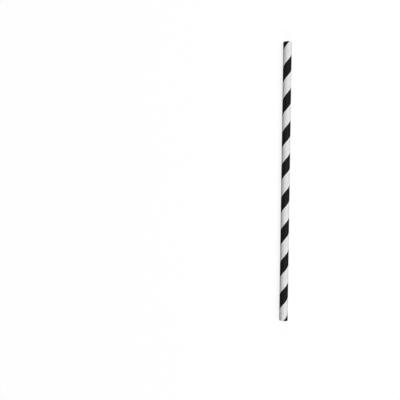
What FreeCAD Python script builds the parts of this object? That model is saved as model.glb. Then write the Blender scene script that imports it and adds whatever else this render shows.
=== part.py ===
import FreeCAD, Part
import math
import os

# Paper drinking straw: a straight tube wound in spirals from strips of paper.
# Two heavy body plies carry the shape and a thin outer wrap covers them. The wrap is
# one strip, printed black along one half, so the winding shows as a black and a white
# band of almost equal width that climb round the straw as a right-handed helix.
# The straw lies as it comes to rest: along X, with its axis at y = 0 and its lowest
# line on z = 0. The origin is the middle of its footprint.

V = FreeCAD.Vector

# Driving dimensions, in millimetres
LENGTH = 197.0            # cut length of the straw
OUTER_DIAMETER = 6.0      # measured over the wrap
BODY_PLY = 0.16           # thickness of one body ply
WRAP_PLY = 0.08           # thickness of the printed outer wrap
TURN_LENGTH = 22.9        # climb of the winding along the straw in one turn
BLACK_BAND = 11.0         # printed black field, measured along the straw
FIRST_BLACK = 12.4        # from the -X end to a black field, along the top line

# How many body plies there are, one inside the other
BODY_PLIES = 2

# Where the band's form begins round the straw, in degrees, clear of the line where the
# cylinders close on themselves, and how many turns it runs on past each end
BAND_START = 37.0
SPARE_TURNS = 2

# How many short faces each turn of the band's form is made of. Short faces keep the
# solids quick to measure.
FACES_PER_TURN = 24

# How far the band's form runs past the faces that it cuts, in millimetres
OVERCUT = 0.1

OUTER_RADIUS = OUTER_DIAMETER / 2
WRAP_INNER_RADIUS = OUTER_RADIUS - WRAP_PLY
BORE_RADIUS = WRAP_INNER_RADIUS - BODY_PLIES * BODY_PLY


def sleeve(inner_radius, outer_radius):
    """A plain tube along Z, as long as the straw."""
    drum = Part.makeCylinder(outer_radius, LENGTH)
    hollow = Part.makeCylinder(inner_radius, LENGTH)
    return drum.cut(hollow)


def helix_edge(radius, height, turn, next_turn):
    """A short edge of a helix round Z that climbs with the winding.

    The helix passes the line that becomes the straw's top, opposite to +X, at height.
    Both ends of the edge are given in turns from +X.
    """
    points, directions = [], []
    for at in (turn, next_turn):
        angle = 2 * math.pi * at
        x, y = radius * math.cos(angle), radius * math.sin(angle)
        points.append(V(x, y, height + TURN_LENGTH * (at - 0.5)))
        directions.append(V(-y, x, TURN_LENGTH / (2 * math.pi)))
    curve = Part.BSplineCurve()
    curve.interpolate(
        Points=points, InitialTangent=directions[0], FinalTangent=directions[1]
    )
    return curve.toShape()


def helical_band(first, width, inner_radius, outer_radius):
    """A band that climbs round Z with the winding, and runs out past both ends.

    On the line that becomes the straw's top, one of its turns begins at the height
    first, and it is as high as width. It is built of short ruled faces.
    """
    begin = BAND_START / 360.0 - SPARE_TURNS
    steps = math.ceil((LENGTH / TURN_LENGTH + 2 * SPARE_TURNS) * FACES_PER_TURN)
    turns = [begin + step / FACES_PER_TURN for step in range(steps + 1)]
    bottom = first % TURN_LENGTH
    faces = []
    for turn, next_turn in zip(turns, turns[1:]):
        inner_low, outer_low, outer_high, inner_high = [
            helix_edge(radius, height, turn, next_turn)
            for radius, height in (
                (inner_radius, bottom),
                (outer_radius, bottom),
                (outer_radius, bottom + width),
                (inner_radius, bottom + width),
            )
        ]
        faces.append(Part.makeRuledSurface(inner_low, outer_low))
        faces.append(Part.makeRuledSurface(outer_low, outer_high))
        faces.append(Part.makeRuledSurface(outer_high, inner_high))
        faces.append(Part.makeRuledSurface(inner_high, inner_low))
    for turn in (turns[0], turns[-1]):
        outward = V(math.cos(2 * math.pi * turn), math.sin(2 * math.pi * turn), 0)
        foot = V(0, 0, bottom + TURN_LENGTH * (turn - 0.5))
        near, far = foot + outward * inner_radius, foot + outward * outer_radius
        rise = V(0, 0, width)
        faces.append(Part.Face(Part.makePolygon([near, far, far + rise, near + rise, near])))
    shell = Part.makeShell(faces)
    shell.sewShape()
    return Part.makeSolid(shell)


def printed_field():
    """The black field of the wrap, as deep as the wrap is thick."""
    band = helical_band(
        FIRST_BLACK,
        BLACK_BAND,
        WRAP_INNER_RADIUS - OVERCUT,
        OUTER_RADIUS + OVERCUT,
    )
    return sleeve(WRAP_INNER_RADIUS, OUTER_RADIUS).common(band)


def paper_tube(field):
    """The white paper of all plies, with room for the black field of the wrap."""
    wall = sleeve(BORE_RADIUS, OUTER_RADIUS)
    return wall.cut(field)


def lay_down(shape):
    """Turn a shape from Z to X and lay it on z = 0 with its middle at x = 0."""
    laid = shape.copy()
    laid.rotate(V(0, 0, 0), V(0, 1, 0), 90)
    laid.translate(V(-LENGTH / 2, 0, OUTER_RADIUS))
    return laid


def main():
    os.makedirs("parts", exist_ok=True)
    field = printed_field()
    pieces = {
        "paper_tube": paper_tube(field),
        "black_stripe": field,
    }
    for name, shape in pieces.items():
        solid = lay_down(shape)
        solid.exportStep(f"parts/{name}.step")
        box = solid.optimalBoundingBox()
        print(
            f"{name}: {len(solid.Solids)} solid, {solid.Volume:.2f} mm3,"
            f" x {box.XMin:.2f} to {box.XMax:.2f}, z {box.ZMin:.2f} to {box.ZMax:.2f}"
        )


main()
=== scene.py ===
"""Looks of a spiral-wound paper drinking straw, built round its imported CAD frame.

The straw lies along X on z = 0. Its wall is wound from strips of paper that all climb
round it with the same right-handed winding: two body plies that carry the shape, and
an outer wrap that is printed black along one half. Each strip is a closed mesh of its
own, with its edges, its butt joint and the unevenness of paper in the geometry. All
sizes are in metres.
"""

import logging
import math
from abc import ABC, abstractmethod
from dataclasses import dataclass, field
from enum import Enum

import bmesh
import bpy
from mathutils import Matrix, Vector


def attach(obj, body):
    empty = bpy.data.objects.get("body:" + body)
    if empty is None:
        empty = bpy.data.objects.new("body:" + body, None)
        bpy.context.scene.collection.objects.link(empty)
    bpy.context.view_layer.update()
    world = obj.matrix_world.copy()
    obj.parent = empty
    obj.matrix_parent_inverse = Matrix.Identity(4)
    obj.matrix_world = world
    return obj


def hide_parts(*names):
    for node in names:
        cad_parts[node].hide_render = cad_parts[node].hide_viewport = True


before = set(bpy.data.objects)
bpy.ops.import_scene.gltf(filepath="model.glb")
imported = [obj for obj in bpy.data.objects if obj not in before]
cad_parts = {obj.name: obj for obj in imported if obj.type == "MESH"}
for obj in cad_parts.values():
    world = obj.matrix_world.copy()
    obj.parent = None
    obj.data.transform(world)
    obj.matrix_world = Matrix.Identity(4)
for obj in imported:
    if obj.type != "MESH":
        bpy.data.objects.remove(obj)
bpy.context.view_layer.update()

MILLIMETRE = 0.001
BODY = "root"

log = logging.getLogger("straw")

Colour = tuple[float, float, float]


# Shader nodes


class Value:
    """A number, colour or vector from a socket, which takes part in expressions."""

    def __init__(self, recipe: "Recipe", socket: bpy.types.NodeSocket | None) -> None:
        """Wrap an output of a recipe's node, or None for a node without outputs."""
        self.recipe = recipe
        self.socket = socket

    def _maths(self, operation: str, *terms: "Value | float") -> "Value":
        """Add one Math node.

        Args:
            operation: The node's operation, by Blender's name.
            *terms: Its terms in order, sockets or plain numbers.

        Returns:
            The node's result.
        """
        return self.recipe.add(
            "ShaderNodeMath", {"operation": operation}, dict(enumerate(terms))
        )

    def __add__(self, other: "Value | float") -> "Value":
        """Give self + other."""
        return self._maths("ADD", self, other)

    def __radd__(self, other: float) -> "Value":
        """Give other + self."""
        return self._maths("ADD", other, self)

    def __sub__(self, other: "Value | float") -> "Value":
        """Give self - other."""
        return self._maths("SUBTRACT", self, other)

    def __rsub__(self, other: float) -> "Value":
        """Give other - self."""
        return self._maths("SUBTRACT", other, self)

    def __mul__(self, other: "Value | float") -> "Value":
        """Give self * other."""
        return self._maths("MULTIPLY", self, other)

    def __rmul__(self, other: float) -> "Value":
        """Give other * self."""
        return self._maths("MULTIPLY", other, self)

    def __mod__(self, other: "Value | float") -> "Value":
        """Give the remainder of self by other, never negative."""
        return self._maths("FLOORED_MODULO", self, other)

    def __rmod__(self, other: float) -> "Value":
        """Give the remainder of other by self, never negative."""
        return self._maths("FLOORED_MODULO", other, self)

    def turn_to(self, other: "Value") -> "Value":
        """Give the angle whose sine goes with self and whose cosine with other."""
        return self._maths("ARCTAN2", self, other)

    def larger(self, other: "Value | float") -> "Value":
        """Give the larger of self and other."""
        return self._maths("MAXIMUM", self, other)

    def smooth(self, low: float, high: float) -> "Value":
        """Give a soft step.

        Args:
            low: Where the step starts, at 0.
            high: Where it ends, at 1.

        Returns:
            The step's height at self.
        """
        return self.recipe.add(
            "ShaderNodeMapRange",
            {"interpolation_type": "SMOOTHSTEP"},
            {"Value": self, "From Min": low, "From Max": high},
        )


class Recipe:
    """The nodes of one material or of the world."""

    NOISE_ROUGHNESS = 0.55

    def __init__(self, owner: bpy.types.Material | bpy.types.World) -> None:
        """Start from an empty tree.

        Args:
            owner: The material or the world, whose nodes are cleared.
        """
        owner.use_nodes = True
        self.tree = owner.node_tree
        self.tree.nodes.clear()

    def add(
        self,
        kind: str,
        settings: dict[str, object] | None = None,
        sockets: dict[str | int, object] | None = None,
        output: str | int = 0,
    ) -> Value:
        """Add one node.

        Args:
            kind: The node's type, by Blender's name.
            settings: The node's own settings, which are set before its sockets.
            sockets: A number, a colour, a vector or a link for each socket named.
            output: The output that is wanted, by name or place.

        Returns:
            That output, or an empty value where the node has no outputs.
        """
        node = self.tree.nodes.new(kind)
        for name, setting in (settings or {}).items():
            setattr(node, name, setting)
        for key, given in (sockets or {}).items():
            socket = self._pick(node.inputs, key)
            if isinstance(given, Value):
                self.tree.links.new(given.socket, socket)
            else:
                socket.default_value = given
        if not node.outputs:
            return Value(self, None)
        return Value(self, self._pick(node.outputs, output))

    @staticmethod
    def _pick(sockets: bpy.types.bpy_prop_collection, key: str | int) -> bpy.types.NodeSocket:
        """Find a socket.

        Args:
            sockets: A node's inputs or its outputs.
            key: The socket's place, or its name among those in use.

        Returns:
            The socket.
        """
        if isinstance(key, int):
            return sockets[key]
        return next(s for s in sockets if s.enabled and s.name == key)

    def vector(self, x: Value | float, y: Value | float, z: Value | float) -> Value:
        """Give a vector of three numbers."""
        return self.add("ShaderNodeCombineXYZ", None, {"X": x, "Y": y, "Z": z})

    def length(self, vector: Value) -> Value:
        """Give the length of a vector."""
        return self.add("ShaderNodeVectorMath", {"operation": "LENGTH"}, {0: vector}, "Value")

    def noise(self, place: Value, grain: float, detail: float) -> Value:
        """Give smooth noise.

        Args:
            place: Where the noise is read.
            grain: How wide one of its grains is.
            detail: How many finer layers it has.

        Returns:
            The noise, from 0 to 1 around a half.
        """
        return self.add(
            "ShaderNodeTexNoise",
            {"noise_dimensions": "3D"},
            {
                "Vector": place,
                "Scale": 1 / grain,
                "Detail": detail,
                "Roughness": self.NOISE_ROUGHNESS,
            },
        )

    def blend(self, share: Value, low: Value | Colour, high: Value | Colour) -> Value:
        """Mix two colours.

        Args:
            share: 0 for the first colour and 1 for the second.
            low: The first colour.
            high: The second colour.

        Returns:
            The mixed colour.
        """
        return self.add(
            "ShaderNodeMix",
            {"data_type": "RGBA", "clamp_factor": True},
            {"Factor": share, "A": opaque(low), "B": opaque(high)},
            "Result",
        )


def opaque(colour: Value | Colour) -> Value | tuple[float, ...]:
    """Give a plain colour full alpha, as a socket takes it, and leave a link as it is."""
    return colour if isinstance(colour, Value) else (*colour, 1.0)


def grey(level: float) -> Colour:
    """Give a neutral colour."""
    return (level, level, level)


# Objects


def add_object(name: str, data: bpy.types.ID) -> bpy.types.Object:
    """Add an object to the scene.

    Args:
        name: The object's name.
        data: Its mesh, lamp or camera.

    Returns:
        The object.
    """
    made = bpy.data.objects.new(name, data)
    bpy.context.scene.collection.objects.link(made)
    return made


def add_mesh(
    name: str, shape: bmesh.types.BMesh, material: bpy.types.Material
) -> bpy.types.Object:
    """Add an object with a mesh of its own to the scene.

    Args:
        name: The name of the object and its mesh.
        shape: The shape of the mesh, which is freed.
        material: The object's only material.

    Returns:
        The object.
    """
    mesh = bpy.data.meshes.new(name)
    shape.to_mesh(mesh)
    shape.free()
    mesh.materials.append(material)
    return add_object(name, mesh)


# The winding and its strips


@dataclass(frozen=True)
class Winding:
    """The straw's sizes, and the helix that all its strips follow.

    A strip's line is named by its start: where along the straw, from the -X end, the
    line crosses the top of the straw.
    """

    length: float = 197.0 * MILLIMETRE
    radius: float = 3.0 * MILLIMETRE
    pitch: float = 22.9 * MILLIMETRE
    body_ply: float = 0.16 * MILLIMETRE
    wrap_ply: float = 0.08 * MILLIMETRE
    black_start: float = 12.4 * MILLIMETRE
    black_width: float = 11.0 * MILLIMETRE

    @property
    def wrap_inner_radius(self) -> float:
        """The radius that the wrap is glued on."""
        return self.radius - self.wrap_ply

    @property
    def ply_joint_radius(self) -> float:
        """The radius at which the two body plies meet."""
        return self.wrap_inner_radius - self.body_ply

    @property
    def bore_radius(self) -> float:
        """The radius of the open bore."""
        return self.ply_joint_radius - self.body_ply

    @property
    def black_end(self) -> float:
        """The line on which the black field ends and the white one begins."""
        return self.black_start + self.black_width

    @property
    def white_width(self) -> float:
        """The white field's width along the straw."""
        return self.pitch - self.black_width

    @property
    def wrap_joint(self) -> float:
        """The line of the wrap's butt joint, along the middle of the white field."""
        return self.black_end + self.white_width / 2

    @property
    def outer_ply_joint(self) -> float:
        """The line of the outer body ply's joint, a third of a turn on."""
        return self.wrap_joint + self.pitch / 3

    @property
    def inner_ply_joint(self) -> float:
        """The line of the inner body ply's joint, two thirds of a turn on."""
        return self.wrap_joint + 2 * self.pitch / 3

    def angle(self, along: float, start: float) -> float:
        """Give how far round from the top a line has come, in radians."""
        return math.tau * (along - start) / self.pitch

    def place(self, along: float, start: float, radius: float) -> Vector:
        """Find a point of the winding.

        Args:
            along: How far it lies from the -X end.
            start: The line that it lies on.
            radius: How far it lies from the axis.

        Returns:
            The point in the model's frame.
        """
        angle = self.angle(along, start)
        return Vector(
            (
                along - self.length / 2,
                -radius * math.sin(angle),
                self.radius + radius * math.cos(angle),
            )
        )

    def across(self, start: float, line: float) -> float:
        """Give how far one line lies past another, by the shorter way round."""
        return (start - line + self.pitch / 2) % self.pitch - self.pitch / 2


class Face(Enum):
    """The side of a strip that a point of its section lies on."""

    OUTER = "outer"
    EDGE = "edge"
    INNER = "inner"


@dataclass(frozen=True)
class SectionPoint:
    """One corner of a strip's section, square to the straw's axis."""

    start: float
    radius: float
    face: Face
    inward: tuple[float, float]


@dataclass(frozen=True)
class Relief:
    """How far the paper lies below its full radius, always inwards."""

    winding: Winding
    joint_droop: float = 0.030 * MILLIMETRE
    joint_reach: float = 0.55 * MILLIMETRE
    ply_dip: float = 0.014 * MILLIMETRE
    ply_reach: float = 0.60 * MILLIMETRE
    inner_ply_share: float = 0.5
    waviness: float = 0.005 * MILLIMETRE
    # How far along the straw each of its faint waves turns by one radian
    oval_drift: float = 5.3 * MILLIMETRE
    trefoil_drift: float = 9.1 * MILLIMETRE

    def depth(self, along: float, start: float) -> float:
        """Measure the relief at one point of the wrap.

        Args:
            along: How far the point lies from the -X end.
            start: The line that it lies on.

        Returns:
            How far the surface is drawn in there.
        """
        wind = self.winding
        at_joint = self._bell(wind.across(start, wind.wrap_joint), self.joint_reach)
        at_outer = self._bell(wind.across(start, wind.outer_ply_joint), self.ply_reach)
        at_inner = self._bell(wind.across(start, wind.inner_ply_joint), self.ply_reach)
        angle = wind.angle(along, start)
        oval = math.sin(2 * angle + along / self.oval_drift)
        trefoil = math.sin(3 * angle - along / self.trefoil_drift)
        return (
            self.joint_droop * at_joint
            + self.ply_dip * (at_outer + self.inner_ply_share * at_inner)
            + self.waviness * (2 + oval + trefoil) / 4
        )

    @staticmethod
    def _bell(distance: float, reach: float) -> float:
        """Give a bell curve that is 1 at its middle."""
        return math.exp(-((distance / reach) ** 2))


@dataclass
class WoundStrip:
    """One strip of paper, wound round the straw and cut square at both ends."""

    winding: Winding
    start: float
    width: float
    inner_radius: float
    outer_radius: float
    relief: Relief | None = None
    column: float = 0.30 * MILLIMETRE
    ring: float = 0.60 * MILLIMETRE
    edge: float = 0.012 * MILLIMETRE
    cut_wander: float = 0.018 * MILLIMETRE
    # How many waves the blade leaves round the cut, and where they begin, in radians
    slow_waves: int = 2
    quick_waves: int = 5
    slow_phase: float = 0.7
    quick_phase: float = 30.0 / MILLIMETRE
    weld: float = 0.006 * MILLIMETRE

    def section(self) -> tuple[list[SectionPoint], int]:
        """Lay out the strip's section.

        Returns:
            Its corners in order, out along the outer face, down one edge, back along
            the inner face and up the other edge, and how many lie on each face.
        """
        low, high, edge = self.start, self.start + self.width, self.edge
        count = max(2, round(self.width / self.column))
        flat = high - low - 2 * edge
        starts = [low + edge + flat * i / count for i in range(count + 1)]
        outer = [SectionPoint(s, self.outer_radius, Face.OUTER, (0, -1)) for s in starts]
        inner = [SectionPoint(s, self.inner_radius, Face.INNER, (0, 1)) for s in starts]
        top, bottom = self.outer_radius - edge, self.inner_radius + edge
        far = [SectionPoint(high, r, Face.EDGE, (-1, 0)) for r in (top, bottom)]
        near = [SectionPoint(low, r, Face.EDGE, (1, 0)) for r in (bottom, top)]
        return outer + far + inner[::-1] + near, count + 1

    def rings(self) -> list[tuple[float, float]]:
        """Lay out the rings along the straw.

        Returns:
            For each ring its place along the straw and how far its section is drawn in.
        """
        length, edge = self.winding.length, self.edge
        flat = length - 2 * edge
        count = round(flat / self.ring)
        run = [(edge + flat * i / count, 0.0) for i in range(count + 1)]
        return [(0.0, edge), *run, (length, edge)]

    def cut(self, along: float, start: float) -> float:
        """Move a point next to an end with the uneven cut of the blade.

        Args:
            along: Where the point would lie with a true cut.
            start: The line that it lies on.

        Returns:
            Where it lies, never past a true cut.
        """
        length = self.winding.length
        if min(along, length - along) > 2 * self.edge:
            return along
        angle = self.winding.angle(along, start)
        slow = math.sin(self.slow_waves * angle + self.slow_phase)
        quick = math.sin(self.quick_waves * angle + self.quick_phase * self.inner_radius)
        shift = self.cut_wander * (2 + slow + quick) / 4
        return along + shift if along < length / 2 else along - shift

    def vertex(self, along: float, draw_in: float, point: SectionPoint) -> Vector:
        """Place one vertex.

        Args:
            along: The ring's place along the straw.
            draw_in: How far the ring's section is drawn in.
            point: The corner of the section.

        Returns:
            The vertex's place in the model's frame.
        """
        start = point.start + draw_in * point.inward[0]
        radius = point.radius + draw_in * point.inward[1]
        where = self.cut(along, start)
        if self.relief and point.face is not Face.INNER:
            thickness = self.outer_radius - self.inner_radius
            share = (point.radius - self.inner_radius) / thickness
            radius -= share * self.relief.depth(where, start)
        return self.winding.place(where, start, radius)

    def fill(self, mesh: bmesh.types.BMesh) -> None:
        """Add the strip to a mesh as a closed shell.

        Args:
            mesh: The mesh that takes the strip.
        """
        points, face_count = self.section()
        rings = [
            [mesh.verts.new(self.vertex(along, draw_in, point)) for point in points]
            for along, draw_in in self.rings()
        ]
        size = len(points)
        for near, far in zip(rings, rings[1:]):
            for i in range(size):
                j = (i + 1) % size
                mesh.faces.new((near[i], far[i], far[j], near[j]))
        for ring, turned in ((rings[0], False), (rings[-1], True)):
            self._close(mesh, ring, face_count, turned)
        # Drawn in, the corners of the end sections all but meet, and so they are joined
        bmesh.ops.remove_doubles(mesh, verts=rings[0] + rings[-1], dist=self.weld)

    @staticmethod
    def _close(
        mesh: bmesh.types.BMesh, ring: list[bmesh.types.BMVert], count: int, turned: bool
    ) -> None:
        """Close one end of the strip.

        Args:
            mesh: The mesh that holds the strip.
            ring: The ring of vertices at that end.
            count: How many vertices lie on the outer face, and as many on the inner.
            turned: Whether the faces run the other way round.
        """
        outer = ring[:count]
        inner = ring[count + 2 : 2 * count + 2][::-1]
        far, near = ring[count : count + 2], ring[2 * count + 2 :]
        faces = [(outer[i], outer[i + 1], inner[i + 1], inner[i]) for i in range(count - 1)]
        faces.append((outer[-1], far[0], far[1], inner[-1]))
        faces.append((inner[0], near[0], near[1], outer[0]))
        for face in faces:
            mesh.faces.new(face[::-1] if turned else face)


# Finishes


class StripPlace:
    """Coordinates that follow the winding, worked out from a point's place."""

    def __init__(self, recipe: Recipe, winding: Winding) -> None:
        """Add the nodes that work them out.

        Args:
            recipe: The material's nodes.
            winding: The winding that they follow.
        """
        self.recipe = recipe
        self.solid = recipe.add("ShaderNodeTexCoord", None, None, "Object")
        self.x, y, z = (
            recipe.add("ShaderNodeSeparateXYZ", None, {"Vector": self.solid}, axis)
            for axis in "XYZ"
        )
        height = z - winding.radius
        angle = (0.0 - y).turn_to(height)
        self.radius = recipe.length(recipe.vector(0.0, y, height))
        line = self.x + winding.length / 2 - angle * (winding.pitch / math.tau)
        joint = winding.wrap_joint % winding.pitch
        self.across = (line - joint) % winding.pitch

    def along_strip(self, squeeze: float) -> Value:
        """Give coordinates in which noise is drawn out along the strip by 1 / squeeze."""
        return self.recipe.vector(self.x * squeeze, self.across, self.radius)


@dataclass(frozen=True)
class Unevenness:
    """The layers of unevenness in a strip's surface, each from 0 to 1."""

    fibres: Value
    grain: Value
    clouds: Value


@dataclass(frozen=True, kw_only=True)
class Finish(ABC):
    """The surface of a paper strip: short fibres, and a faint grain along the strip."""

    name: str
    roughness: tuple[float, float]
    gloss: float
    cloud: float
    bump: float
    fibre_share: float
    fibre: float = 0.10 * MILLIMETRE
    grain: float = 0.40 * MILLIMETRE
    grain_squeeze: float = 0.25
    cloud_squeeze: float = 0.5
    bump_depth: float = 0.03 * MILLIMETRE
    fine_detail: float = 3.0
    cloud_detail: float = 2.0

    def material(self, winding: Winding) -> bpy.types.Material:
        """Make the material.

        Args:
            winding: The winding that the grain follows.

        Returns:
            The finished material.
        """
        made = bpy.data.materials.new(self.name)
        recipe = Recipe(made)
        place = StripPlace(recipe, winding)
        along_grain = place.along_strip(self.grain_squeeze)
        along_cloud = place.along_strip(self.cloud_squeeze)
        uneven = Unevenness(
            fibres=recipe.noise(place.solid, self.fibre, self.fine_detail),
            grain=recipe.noise(along_grain, self.grain, self.fine_detail),
            clouds=recipe.noise(along_cloud, self.cloud, self.cloud_detail),
        )
        relief = uneven.fibres * self.fibre_share + uneven.grain * (1 - self.fibre_share)
        normal = recipe.add(
            "ShaderNodeBump",
            None,
            {"Strength": self.bump, "Distance": self.bump_depth, "Height": relief},
        )
        low, high = self.roughness
        shader = recipe.add(
            "ShaderNodeBsdfPrincipled",
            None,
            {
                "Base Color": self.colour(recipe, place, uneven, winding),
                "Roughness": low + (high - low) * uneven.fibres,
                "Specular IOR Level": self.gloss,
                "Normal": normal,
            },
        )
        recipe.add("ShaderNodeOutputMaterial", None, {"Surface": shader})
        return made

    @abstractmethod
    def colour(
        self, recipe: Recipe, place: StripPlace, uneven: Unevenness, winding: Winding
    ) -> Value:
        """Add the nodes of the colour.

        Args:
            recipe: The material's nodes.
            place: The coordinates along and across the strip.
            uneven: The layers of unevenness.
            winding: The winding that the strip follows.

        Returns:
            The colour over the surface.
        """


@dataclass(frozen=True, kw_only=True)
class PaperFinish(Finish):
    """Bare matt paper."""

    light: Colour
    shade: Colour
    roughness: tuple[float, float] = (0.72, 0.88)
    gloss: float = 0.25
    cloud: float = 1.6 * MILLIMETRE
    bump: float = 0.7
    fibre_share: float = 0.6
    tone_weights: tuple[float, float, float] = (0.5, 0.3, 0.2)
    tone_step: tuple[float, float] = (0.36, 0.64)

    def colour(
        self, recipe: Recipe, place: StripPlace, uneven: Unevenness, winding: Winding
    ) -> Value:
        """Mix the paper's light and shaded tones in soft clouds.

        Args:
            recipe: The material's nodes.
            place: The coordinates along and across the strip.
            uneven: The layers of unevenness.
            winding: The winding that the strip follows.

        Returns:
            The colour over the surface.
        """
        clouds, grain, fibres = self.tone_weights
        tone = uneven.clouds * clouds + uneven.grain * grain + uneven.fibres * fibres
        return recipe.blend(tone.smooth(*self.tone_step), self.shade, self.light)


@dataclass(frozen=True, kw_only=True)
class InkFinish(Finish):
    """Black ink on the wrap, with bare paper where the cut shows the wrap's core."""

    ink: Colour
    worn_ink: Colour
    core: Colour
    depth: float = 0.045 * MILLIMETRE
    soak: float = 0.009 * MILLIMETRE
    roughness: tuple[float, float] = (0.42, 0.54)
    gloss: float = 0.05
    cloud: float = 1.9 * MILLIMETRE
    bump: float = 0.25
    fibre_share: float = 0.5
    cover_weights: tuple[float, float] = (0.6, 0.4)
    cover_step: tuple[float, float] = (0.35, 0.65)

    def colour(
        self, recipe: Recipe, place: StripPlace, uneven: Unevenness, winding: Winding
    ) -> Value:
        """Lay the ink on the paper's core.

        Args:
            recipe: The material's nodes.
            place: The coordinates along and across the strip.
            uneven: The layers of unevenness.
            winding: The winding that the strip follows.

        Returns:
            The colour over the surface.
        """
        clouds, grain = self.cover_weights
        cover = uneven.clouds * clouds + uneven.grain * grain
        ink = recipe.blend(cover.smooth(*self.cover_step), self.worn_ink, self.ink)
        below = winding.radius - self.depth
        soaked = place.radius.smooth(below - self.soak, below)
        return recipe.blend(soaked, self.core, ink)


# The straw


class PaperField(Enum):
    """A CAD node and the record's material slot, for the white and the black paper."""

    WHITE = ("paper_tube", "white_paper")
    BLACK = ("black_stripe", "black_ink")


@dataclass
class Straw:
    """The whole straw: its body plies and the white and black fields of its wrap."""

    winding: Winding = field(default_factory=Winding)
    wrap_gap: float = 0.06 * MILLIMETRE
    ply_gap: float = 0.16 * MILLIMETRE
    ply_column: float = 0.5 * MILLIMETRE
    ply_ring: float = 1.0 * MILLIMETRE
    sharp_angle: float = math.radians(32.0)
    wrap_paper: PaperFinish = PaperFinish(
        name="white_wrap_paper", light=grey(0.81), shade=grey(0.755)
    )
    body_paper: PaperFinish = PaperFinish(
        name="body_paper",
        light=(0.78, 0.772, 0.755),
        shade=(0.73, 0.722, 0.705),
        roughness=(0.80, 0.95),
        bump=0.9,
    )
    ink: InkFinish = InkFinish(
        name="black_printed_wrap",
        ink=grey(0.0062),
        worn_ink=grey(0.0086),
        core=(0.72, 0.715, 0.70),
    )

    def build(self) -> list[bpy.types.Object]:
        """Build and dress all pieces.

        Returns:
            The pieces, from the bore outwards.
        """
        wind = self.winding
        body = self.body_paper.material(wind)
        inner = self.body_ply(wind.inner_ply_joint, wind.bore_radius)
        outer = self.body_ply(wind.outer_ply_joint, wind.ply_joint_radius)
        half = (wind.white_width - self.wrap_gap) / 2
        white = [
            self.wrap_strip(wind.black_end, half),
            self.wrap_strip(wind.wrap_joint + self.wrap_gap / 2, half),
        ]
        black = [self.wrap_strip(wind.black_start, wind.black_width)]
        return [
            self.piece("inner_body_ply", [inner], body, PaperField.WHITE),
            self.piece("outer_body_ply", [outer], body, PaperField.WHITE),
            self.piece(
                "white_wrap_field", white, self.wrap_paper.material(wind), PaperField.WHITE
            ),
            self.piece("black_wrap_field", black, self.ink.material(wind), PaperField.BLACK),
        ]

    def body_ply(self, joint: float, inner_radius: float) -> WoundStrip:
        """Lay out one body ply, whose edges meet in a butt joint.

        Args:
            joint: The line of the joint.
            inner_radius: The radius of the ply's inner face.

        Returns:
            The strip, a little narrower than one turn.
        """
        return WoundStrip(
            self.winding,
            joint + self.ply_gap / 2,
            self.winding.pitch - self.ply_gap,
            inner_radius,
            inner_radius + self.winding.body_ply,
            column=self.ply_column,
            ring=self.ply_ring,
        )

    def wrap_strip(self, start: float, width: float) -> WoundStrip:
        """Lay out one part of the wrap, which shows the relief of what lies below.

        Args:
            start: The line on which it begins.
            width: Its width along the straw.

        Returns:
            The strip.
        """
        wind = self.winding
        return WoundStrip(
            wind, start, width, wind.wrap_inner_radius, wind.radius, Relief(wind)
        )

    def piece(
        self,
        name: str,
        strips: list[WoundStrip],
        material: bpy.types.Material,
        paper: PaperField,
    ) -> bpy.types.Object:
        """Make one piece of the straw.

        Args:
            name: The piece's name.
            strips: The strips that it is made of.
            material: Its finish.
            paper: The CAD node that it stands for; the material slot that comes with it is not
                used.

        Returns:
            The piece, which rides on the straw's only body.
        """
        node, slot = paper.value
        shell = bmesh.new()
        for strip in strips:
            strip.fill(shell)
        made = add_mesh(name, shell, material)
        made.data.shade_smooth()
        made.data.set_sharp_from_angle(angle=self.sharp_angle)
        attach(made, BODY)
        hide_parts(node)
        return made


# The studio


@dataclass(frozen=True)
class SoftBox:
    """A square lamp that is aimed at the middle of the straw."""

    name: str
    place: tuple[float, float, float]
    side: float
    level: float

    def build(self) -> bpy.types.Object:
        """Hang the lamp.

        Returns:
            The lamp.
        """
        data = bpy.data.lights.new(self.name, "AREA")
        data.shape = "SQUARE"
        data.size = self.side
        where = Vector(self.place)
        # A lamp of this power gives a white card that faces it the level asked for
        data.energy = self.level * math.pi**2 * where.length_squared
        made = add_object(self.name, data)
        made.matrix_world = (
            Matrix.Translation(where) @ where.to_track_quat("Z", "Y").to_matrix().to_4x4()
        )
        return made


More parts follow.
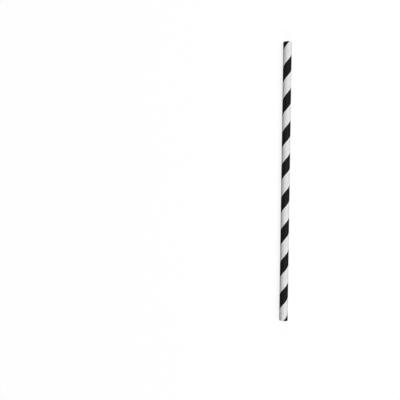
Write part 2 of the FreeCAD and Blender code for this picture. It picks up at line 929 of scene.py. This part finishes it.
@dataclass(frozen=True)
class Studio:
    """The plain white surroundings: floor, daylight all round and soft boxes."""

    floor_radius: float = 3.0
    floor_rings: int = 6
    floor_corners: int = 64
    floor_colour: Colour = grey(0.50)
    shadow_share: Colour = grey(0.16)
    floor_glow: float = 0.855
    daylight: float = 0.07
    boxes: tuple[SoftBox, ...] = (
        SoftBox("key_box", place=(0.0, -0.91, 2.06), side=1.2, level=0.755),
        SoftBox("upper_end_box", place=(2.0, -0.20, 0.93), side=1.0, level=0.26),
        SoftBox("lower_end_box", place=(-2.0, -0.20, 0.93), side=1.0, level=0.26),
    )

    def build(self) -> None:
        """Set up the floor, the world and the lamps."""
        self.floor()
        self.world()
        for box in self.boxes:
            box.build()
        bpy.context.scene.view_settings.view_transform = "Standard"

    def floor(self) -> bpy.types.Object:
        """Make the floor as a round plate of rings.

        Returns:
            The floor, on which the straw lies.
        """
        plate = bmesh.new()
        middle = plate.verts.new((0, 0, 0))
        turns = [math.tau * i / self.floor_corners for i in range(self.floor_corners)]
        rings = []
        for step in range(1, self.floor_rings + 1):
            radius = self.floor_radius * (step / self.floor_rings) ** 2
            rings.append(
                [plate.verts.new((radius * math.cos(a), radius * math.sin(a), 0)) for a in turns]
            )
        for i in range(self.floor_corners):
            j = (i + 1) % self.floor_corners
            plate.faces.new((middle, rings[0][i], rings[0][j]))
            for near, far in zip(rings, rings[1:]):
                plate.faces.new((near[i], far[i], far[j], near[j]))
        return add_mesh("floor", plate, self.floor_material())

    def floor_material(self) -> bpy.types.Material:
        """Make a white that keeps shadows, and whose glow doesn't light the straw.

        Returns:
            The material, which glows only where it is seen or mirrored.
        """
        made = bpy.data.materials.new("white_floor")
        recipe = Recipe(made)
        matt, shadowed = (
            recipe.add("ShaderNodeBsdfDiffuse", None, {"Color": opaque(colour)})
            for colour in (self.floor_colour, self.shadow_share)
        )
        glow = recipe.add(
            "ShaderNodeEmission", None, {"Color": opaque(grey(1.0)), "Strength": self.floor_glow}
        )
        bright = recipe.add("ShaderNodeAddShader", None, {0: shadowed, 1: glow})
        mixed = recipe.add("ShaderNodeMixShader", None, {0: seen(recipe), 1: matt, 2: bright})
        recipe.add("ShaderNodeOutputMaterial", None, {"Surface": mixed})
        return made

    def world(self) -> None:
        """Make daylight that is white where it is seen or mirrored."""
        world = bpy.data.worlds.new("daylight")
        bpy.context.scene.world = world
        recipe = Recipe(world)
        light, white = (
            recipe.add(
                "ShaderNodeBackground", None, {"Color": opaque(grey(1.0)), "Strength": strength}
            )
            for strength in (self.daylight, 1.0)
        )
        mixed = recipe.add("ShaderNodeMixShader", None, {0: seen(recipe), 1: light, 2: white})
        recipe.add("ShaderNodeOutputWorld", None, {"Surface": mixed})


def seen(recipe: Recipe) -> Value:
    """Tell the rays that show a surface from those that only light others.

    Args:
        recipe: The nodes of the floor or of the world.

    Returns:
        1 for rays from the camera, a mirror or glass, and 0 for other rays.
    """
    camera, glossy, clear = (
        recipe.add("ShaderNodeLightPath", None, None, name)
        for name in ("Is Camera Ray", "Is Glossy Ray", "Is Transmission Ray")
    )
    return camera.larger(glossy).larger(clear)


@dataclass(frozen=True)
class ViewFromAbove:
    """The camera, which looks almost straight down on the straw."""

    place: tuple[float, float, float] = (-0.0042, 0.02622, 0.36212)
    turns: tuple[float, float, float] = (-1.473, 5.493, 0.75)
    lens: float = 45.0
    sensor: float = 36.0
    reach: tuple[float, float] = (0.01, 20.0)

    def build(self) -> bpy.types.Object:
        """Place the camera.

        Returns:
            The camera, which is the scene's own.
        """
        data = bpy.data.cameras.new("camera")
        data.lens = self.lens
        data.sensor_width = self.sensor
        data.clip_start, data.clip_end = self.reach
        made = add_object("camera", data)
        # Picture up is +X, and then three small turns about the camera's own axes
        turn = Matrix.Rotation(-math.pi / 2, 4, "Z")
        for angle, axis in zip(self.turns, "XYZ"):
            turn = turn @ Matrix.Rotation(math.radians(angle), 4, axis)
        made.matrix_world = Matrix.Translation(self.place) @ turn
        bpy.context.scene.camera = made
        return made


def main() -> None:
    """Build the straw, the studio and the camera, and report each piece."""
    logging.basicConfig(level=logging.INFO, format="%(message)s")
    for piece in Straw().build():
        log.info("%s: %d faces", piece.name, len(piece.data.polygons))
    Studio().build()
    log.info("camera: %.0f mm lens", ViewFromAbove().build().data.lens)


if __name__ == "__main__":
    main()
